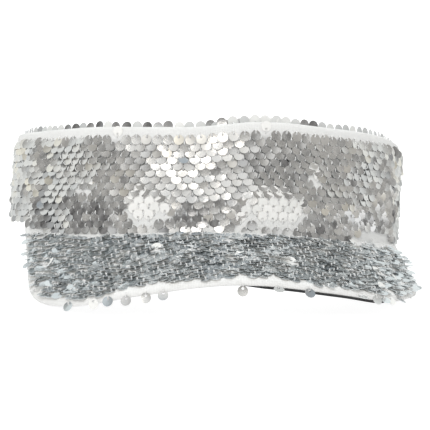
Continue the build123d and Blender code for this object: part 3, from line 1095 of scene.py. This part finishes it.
def build_closure():
    closure_piece("loop_patch_pile", BAND_RADIUS, LOOP_OUTER, LEFT_END, LOOP_END, TAB_LOW, TAB_HIGH,
                  "left_wing", "loop_black", LOOP_PILE, ("loop_patch",))
    closure_piece("tab_root_webbing", BAND_RADIUS, TAB_OUTER, TAB_ROOT_START, RIGHT_END, TAB_LOW,
                  TAB_HIGH, "right_wing", "webbing_black", WEBBING, ("tab_root",))
    closure_piece("closure_tab_webbing", TAB_INNER, TAB_OUTER, RIGHT_END + 0.18, TAB_TIP, TAB_LOW,
                  TAB_HIGH, "closure_tab", "webbing_black", WEBBING, ("closure_tab",))
    closure_piece("hook_patch_moulding", HOOK_INNER, TAB_INNER, HOOK_START, HOOK_END,
                  TAB_LOW + PATCH_MARGIN, TAB_HIGH - PATCH_MARGIN, "closure_tab", "hook_black", HOOKS,
                  ("hook_patch",))


def stitch_bar(a, b, lift):
    """One stitch between two band-frame points, bowed off the cloth along lift."""
    side = (b - a).normalized().cross(lift).normalized()
    rings = []
    for j in range(STITCH_STEPS + 1):
        bow = sin(pi * j / STITCH_STEPS)
        centre = a.lerp(b, j / STITCH_STEPS) + lift * (STITCH_RADIUS * (1.1 * bow - 0.3))
        thick = STITCH_RADIUS * (0.55 + 0.45 * bow)
        turns = [2 * pi * k / STITCH_SIDES for k in range(STITCH_SIDES)]
        rings.append([centre + side * (thick * cos(c)) + lift * (thick * sin(c)) for c in turns])
    return tube(rings)


def stitch_row(name, stitches, body, replaces=()):
    """A row of stitches given as (start, end, outward)."""
    verts, faces = joined([stitch_bar(*stitch) for stitch in stitches])
    obj = make_object(name, verts, faces, body, "thread_grey", replaces)
    obj.data.materials.append(THREAD_BLACK)
    fix_normals(obj.data)
    return obj


def ring_stitches(radius, start, end, z, outward, length=RING_STITCH, pitch=RING_PITCH):
    """Stitches round the band at one height, on its inner or outer face."""
    count = int(abs(end - start) * pi / 180 * radius / pitch)
    stitches = []
    for n in range(count):
        a = start + (end - start) * (n + 0.5) / count
        half = degrees(length / 2 / radius) * (1 if end > start else -1)
        r = radius + bulge(a, z) * (1 if outward < 0 else 0)
        stitches.append((ring(r, a - half, z), ring(r, a + half, z), ring(outward, a, 0)))
    return stitches


def upright_stitches(radius, angle, low, high):
    count = int((high - low) / BOX_PITCH)
    stitches = []
    for n in range(count):
        z = low + (high - low) * (n + 0.5) / count
        ends = [ring(radius, angle, z + half) for half in (-BOX_STITCH / 2, BOX_STITCH / 2)]
        stitches.append((*ends, ring(1, angle, 0)))
    return stitches


def edge_stitches(radius, start, end, low, high):
    """Stitches round the four edges of a patch."""
    stitches = []
    for level in (low, high):
        stitches += ring_stitches(radius, start, end, level, 1, BOX_STITCH, BOX_PITCH)
    for angle in (start, end):
        stitches += upright_stitches(radius, angle, low, high)
    return stitches


def cross_stitches(radius, start, end, low, high):
    """Diagonal of a box stitch."""
    stitches = []
    for n in range(CROSS_COUNT):
        ends = []
        for t in ((n + 0.15) / CROSS_COUNT, (n + 0.85) / CROSS_COUNT):
            share = 0.08 + 0.84 * t
            ends.append(ring(radius, start + (end - start) * share, low + (high - low) * share))
        middle = start + (end - start) * (n + 0.5) / CROSS_COUNT
        stitches.append((*ends, ring(1, middle, 0)))
    return stitches


def build_stitches():
    z = SWEATBAND_LOW + STITCH_RISE
    front = ring_stitches(SWEATBAND_INNER, -SIDE_START, SIDE_START, z, -1)
    stitch_row("front_sweatband_thread", front, "cap", ("front_sweatband_stitches",))
    for side, (sign, end) in SIDES.items():
        row = ring_stitches(SWEATBAND_INNER, sign * SIDE_START, end - sign, z, -1)
        row = stitch_row(side + "_sweatband_thread", row, None, (side + "_sweatband_stitches",))
        bend_side(row)
    a, b = TAB_ROOT_START + 1.0, RIGHT_END - 1.0
    low, high = TAB_LOW + PATCH_MARGIN, TAB_HIGH - PATCH_MARGIN
    box = edge_stitches(TAB_OUTER, a, b, low, high)
    box += cross_stitches(TAB_OUTER, a, b, low, high) + cross_stitches(TAB_OUTER, b, a, low, high)
    stitch_row("tab_root_box_stitch", box, "right_wing")
    patch = edge_stitches(LOOP_OUTER, LEFT_END + 0.9, LOOP_END - 0.9, TAB_LOW + PATCH_INSET,
                          TAB_HIGH - PATCH_INSET)
    stitch_row("loop_patch_edge_stitch", patch, "left_wing")


# ---------------------------------------------------------------- loose sequins at the edge

EDGE_LOOP_RADIUS = 0.9
EDGE_LOOP_THREAD = 0.15
EDGE_LOOP_STEPS = 10
EDGE_LOOP_SIDES = 6
LEG = 0.8  # length of the loop's two legs, sunk in the cloth


def build_edge_sequins():
    """Each loose sequin takes its place and swing from its joint and its CAD node."""
    inverse = BAND_MATRIX.inverted()
    turn = inverse.to_3x3().normalized()
    loops = []
    for joint in frame["joints"]:
        if not joint["name"].startswith("edge_sequin"):
            continue
        node = joint["name"].replace("_flip", "")
        side = -(turn @ Vector(joint["axis"])).normalized()
        centre = inverse @ Vector(joint["pos_m"])
        low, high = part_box(node)
        middle = inverse @ ((Vector(low) + Vector(high)) / 2)
        y = centre - middle
        y = (y - side * y.dot(side)).normalized()
        normal = side.cross(y)
        hole = centre - y * EDGE_LOOP_RADIUS
        tone = 0.25 + 0.1 * (len(loops) % 4)
        item = (hole, side, y, normal, tone, hole, y, normal)
        sequin_object(node + "_disc", [item], node, (node,), threads=0.0)
        loops.append(edge_loop(centre, side))
    obj = make_object("edge_loops_thread", *joined(loops), "cap", "thread_white", ("edge_thread_loops",))
    obj.data.materials.append(THREAD_WHITE)
    fix_normals(obj.data)


def edge_loop(centre, side):
    """Half ring of thread standing on the fold, with its legs in the cloth."""
    up = Vector((0, 0, 1))
    out = side.cross(up).normalized()
    path = [centre + up * EDGE_LOOP_RADIUS - out * LEG]
    for j in range(EDGE_LOOP_STEPS + 1):
        a = pi * j / EDGE_LOOP_STEPS
        path.append(centre + (up * cos(a) + out * sin(a)) * EDGE_LOOP_RADIUS)
    path.append(centre - up * EDGE_LOOP_RADIUS - out * LEG)
    rings = []
    for j, p in enumerate(path):
        before, after = path[max(j - 1, 0)], path[min(j + 1, len(path) - 1)]
        lift = side.cross((after - before).normalized())
        turns = [2 * pi * k / EDGE_LOOP_SIDES for k in range(EDGE_LOOP_SIDES)]
        rings.append([p + (side * cos(c) + lift * sin(c)) * EDGE_LOOP_THREAD for c in turns])
    return tube(rings)


# ---------------------------------------------------------------- camera, light and floor

CAMERA_DISTANCE = 1249.0
CAMERA_YAW = 7.0
CAMERA_RISE = 0.7  # above the band's own plane
CAMERA_ROLL = 2.6
CAMERA_LENS = 204.0
AIM_RIGHT = 5.4
AIM_UP = 6.2


def build_camera():
    yaw, rise, roll = radians(CAMERA_YAW), radians(CAMERA_RISE), radians(CAMERA_ROLL)
    forward = Vector((sin(yaw) * cos(rise), cos(yaw) * cos(rise), -sin(rise)))
    right = Vector((cos(yaw), -sin(yaw), 0))
    up = right.cross(forward)
    right, up = right * cos(roll) + up * sin(roll), up * cos(roll) - right * sin(roll)
    place = -forward * CAMERA_DISTANCE
    aim = right * AIM_RIGHT + up * AIM_UP
    turn = BAND_MATRIX.to_3x3().normalized()
    forward = turn @ (aim - place).normalized()
    up = turn @ up
    right = forward.cross(up).normalized()
    up = right.cross(forward)
    data = bpy.data.cameras.new("camera")
    data.lens = CAMERA_LENS
    data.sensor_width = 36
    data.clip_start = 0.05
    data.clip_end = 50
    camera = bpy.data.objects.new("camera", data)
    basis = Matrix((right, up, -forward)).transposed().to_4x4()
    camera.matrix_world = Matrix.Translation(BAND_MATRIX @ place) @ basis
    bpy.context.scene.collection.objects.link(camera)
    bpy.context.scene.camera = camera


def area_light(name, place, size, power, colour, in_metal):
    """Rectangular light aimed at the cap; the metal sees it only if in_metal."""
    data = bpy.data.lights.new(name, "AREA")
    data.shape = "RECTANGLE"
    data.size, data.size_y = size
    data.energy = power
    data.color = colour
    light = bpy.data.objects.new(name, data)
    light.location = place
    light.visible_glossy = in_metal
    light.rotation_euler = (LIGHTS_AIM - Vector(place)).to_track_quat("-Z", "Y").to_euler()
    bpy.context.scene.collection.objects.link(light)


# what the metal sees: edges of its soft key in degrees of azimuth and rise, and its greys
KEY_LEFT = (-64, -46)
KEY_RIGHT = (46, 30)
KEY_LOW = (25, 31)
KEY_HIGH = (78, 60)
BACK_FROM = (90, 112)
OVERHEAD_FROM = (45, 78)
KEY_WHITE = (0.92, 0.92, 0.90, 1)
BACK_WHITE = (0.84, 0.86, 0.84, 1)
OVERHEAD_BLUE = (0.38, 0.45, 0.51, 1)
DARK_GREY = (0.12, 0.115, 0.11, 1)
PALE_GREY = (0.62, 0.61, 0.585, 1)
CLUTTER_SCALE = 7.0


def reflected_studio(w, direction):
    """What the metal sees: a soft key in front above, white behind, greys between."""
    x, y, z = w.node("SeparateXYZ", {0: direction}).outputs
    azimuth = w.maths("ARCTAN2", x, w.maths("MULTIPLY", y, -1.0))
    rise = w.maths("ARCSINE", z)

    def within(value, limits):
        return w.ease(value, radians(limits[0]), radians(limits[1]))

    across = w.maths("MULTIPLY", within(azimuth, KEY_LEFT), within(azimuth, KEY_RIGHT))
    upwards = w.maths("MULTIPLY", within(rise, KEY_LOW), within(rise, KEY_HIGH))
    key = w.maths("MULTIPLY", across, upwards)
    back = within(w.maths("ABSOLUTE", azimuth), BACK_FROM)
    inputs = {"Vector": direction, "Scale": CLUTTER_SCALE, "Detail": 3.0}
    clutter = w.node("TexNoise", inputs).outputs[0]
    grey = w.mix(w.ease(clutter, 0.42, 0.58), DARK_GREY, PALE_GREY)
    over = w.mix(within(rise, OVERHEAD_FROM), grey, OVERHEAD_BLUE)
    return w.mix(back, w.mix(key, over, KEY_WHITE), BACK_WHITE)


def build_world():
    """White to the camera, and a studio for everything else."""
    world = bpy.data.worlds.new("studio")
    bpy.context.scene.world = world
    world.use_nodes = True
    world.node_tree.nodes.clear()
    w = Nodes(world.node_tree)
    direction = w.node("TexCoord").outputs["Generated"]
    to_camera = w.node("LightPath").outputs["Is Camera Ray"]
    seen = w.mix(to_camera, reflected_studio(w, direction), (1.0, 1.0, 1.0, 1))
    background = w.node("Background", {0: seen})
    w.node("OutputWorld", {0: background.outputs[0]})


LIGHTS_AIM = Vector((0, 0, 0.05))
WARM, NEUTRAL, COOL = (1.0, 0.95, 0.88), (1.0, 1.0, 1.0), (0.96, 0.98, 1.0)
# name, place and size in metres, power in watts, colour, and whether the metal sees it
LIGHTS = [("glint", (-0.34, -1.35, 1.0), (0.45, 0.3), 1.3, WARM, True),
          ("front_fill", (-0.5, -1.5, 1.2), (1.0, 0.8), 13, NEUTRAL, False),
          ("top_fill", (0.1, 0.2, 1.3), (1.2, 1.0), 5, COOL, False),
          ("right_fill", (1.4, -0.4, 0.5), (0.8, 0.8), 0.6, NEUTRAL, False),
          ("left_fill", (-1.4, -0.2, 0.5), (0.8, 0.8), 0.6, NEUTRAL, False)]
FLOOR_HALF = 3.0  # metres
PAPER_GLOW = (0.5, 0.93)  # of the floor, to everything else and to the camera


def build_floor():
    mesh = bpy.data.meshes.new("floor")
    half = FLOOR_HALF
    mesh.from_pydata([(-half, -half, 0), (half, -half, 0), (half, half, 0), (-half, half, 0)], [],
                     [(0, 1, 2, 3)])
    floor = bpy.data.objects.new("floor", mesh)
    paper = Shader("floor_paper", (0.5, 0.5, 0.5), 0.9)
    paper.inputs["Emission Color"].default_value = (1, 1, 1, 1)
    glow = paper.scaled(paper.node("LightPath").outputs["Is Camera Ray"], *PAPER_GLOW)
    paper.plug(paper.inputs["Emission Strength"], glow)
    mesh.materials.append(paper.material)
    bpy.context.scene.collection.objects.link(floor)


bpy.context.scene.view_settings.view_transform = "Standard"
build_camera()
build_world()
for light in LIGHTS:
    area_light(*light)
build_floor()
build_band_cloth()
build_band_core()
build_band_sequins()
build_brim_cloth()
build_seam_tape()
sequin_object("brim_sequins_loose", fold_sequins(Random(3)) + brim_sequin_rows(Random(9)), "cap",
              ("brim_sequins",), threads=0.5, silver=BRIM_SILVER_PAINTED_BLUE)
build_closure()
build_stitches()
build_edge_sequins()
